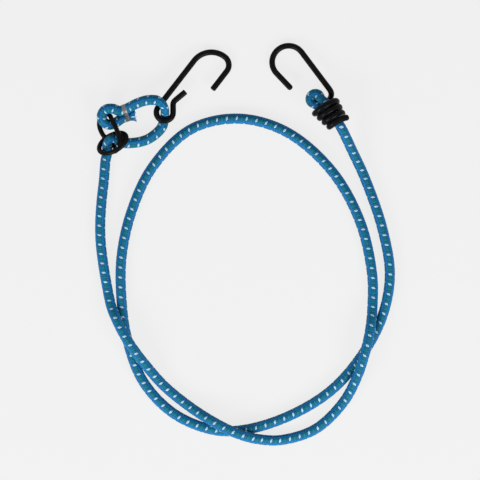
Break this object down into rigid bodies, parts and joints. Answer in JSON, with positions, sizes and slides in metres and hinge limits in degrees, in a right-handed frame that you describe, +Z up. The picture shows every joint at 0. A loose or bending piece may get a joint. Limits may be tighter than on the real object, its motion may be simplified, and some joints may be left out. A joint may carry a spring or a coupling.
{
  "type": "bungee cord",
  "caption": "Elastic cord in a flecked braided sheath, with an S-hook loose in an adjustable loop at one end and a spiral-clamped wire hook at the other, lying in two laps.",
  "frame": {"origin": "on the surface the cord lies on, midway between the adjuster's end and the spiral hook's end of the cord", "axes": "+Z up from that surface, +Y from the laps towards the open ends of the hooks, +X from the S-hook's side to the spiral hook's side"},
  "size_m": [0.2442, 0.3279, 0.0268],
  "materials": {
    "sheath": "braided, with light and teal flecks",
    "core": "matte",
    "coated_wire": "semi-gloss black coating",
    "steel": "bright"
  },
  "bodies": {
    "cord": {"sheath_main": "sheath", "core_main": "core", "sheath_bight": "sheath", "core_bight": "core", "sheath_leg_upper": "sheath", "core_leg_upper": "core", "sheath_leg_lower": "sheath", "core_leg_lower": "core", "sheath_run": "sheath", "core_run": "core", "sheath_end": "sheath", "core_end": "core"},
    "adjuster": {"adjuster": "coated_wire", "crimp": "steel", "sheath_eye": "sheath", "core_eye": "core", "sheath_slider": "sheath", "core_slider": "core"},
    "s_hook": {"s_hook": "coated_wire"},
    "spiral": {"spiral_hook": "coated_wire", "sheath_fold": "sheath", "core_fold": "core"}
  },
  "joints": [
    {"name": "adjuster_slide", "type": "slide", "parent": "cord", "child": "adjuster", "axis": [-0.0995, -0.995, 0], "range_m": [0, 0.04], "deforming": ["sheath_run", "core_run", "sheath_leg_upper", "core_leg_upper", "sheath_leg_lower", "core_leg_lower"]},
    {"name": "s_hook_swing", "type": "hinge", "parent": "cord", "child": "s_hook", "pos_m": [-0.0486, -0.0082, 0.0113], "axis": [0, 0, 1], "range_deg": [-15, 45]},
    {"name": "hook_stretch", "type": "slide", "parent": "cord", "child": "spiral", "axis": [-0.4226, 0.9063, 0], "range_m": [0, 0.06], "stiffness_N_per_m": 113, "deforming": ["sheath_end", "core_end"]}
  ]
}
